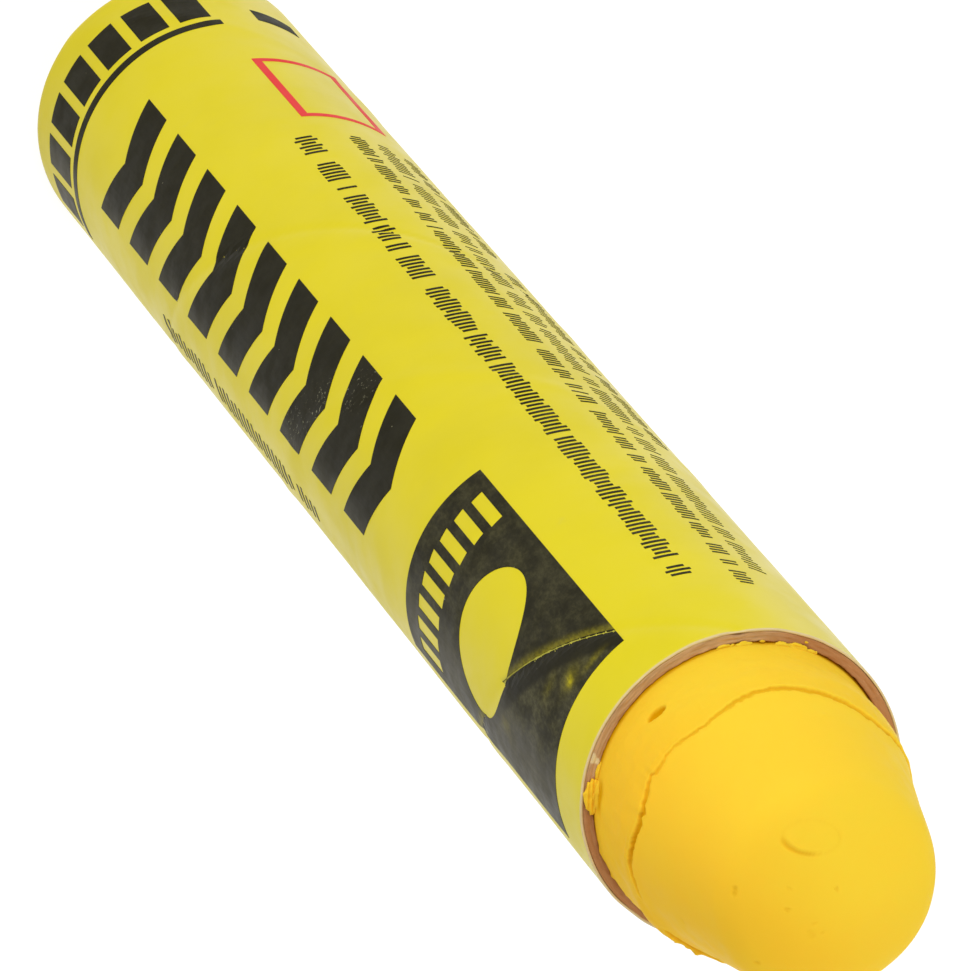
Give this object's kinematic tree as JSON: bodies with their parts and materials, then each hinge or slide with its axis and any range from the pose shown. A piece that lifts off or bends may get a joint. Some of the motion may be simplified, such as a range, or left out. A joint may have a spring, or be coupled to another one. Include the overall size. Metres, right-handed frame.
{
  "type": "solid paint marker",
  "caption": "Stick of solid yellow paint with a moulded bullet nose in a spiral-wound cardboard sleeve with a printed paper label.",
  "frame": {"origin": "centre of the sleeve's flat rear end, which the marker stands on", "axes": "+Z along the axis towards the nose, -Y towards the side with the main print"},
  "size_m": [0.0174, 0.0176, 0.1207],
  "materials": {
    "solid_paint": "waxy satin",
    "kraft_card": "matte",
    "label_paper": "gloss lacquer",
    "black_ink": "gloss lacquer",
    "red_ink": "gloss lacquer"
  },
  "bodies": {
    "root": {"paint_stick": "solid_paint", "cardboard_sleeve": "kraft_card", "paper_label": "label_paper", "black_print": "black_ink", "red_print": "red_ink"}
  },
  "joints": []
}
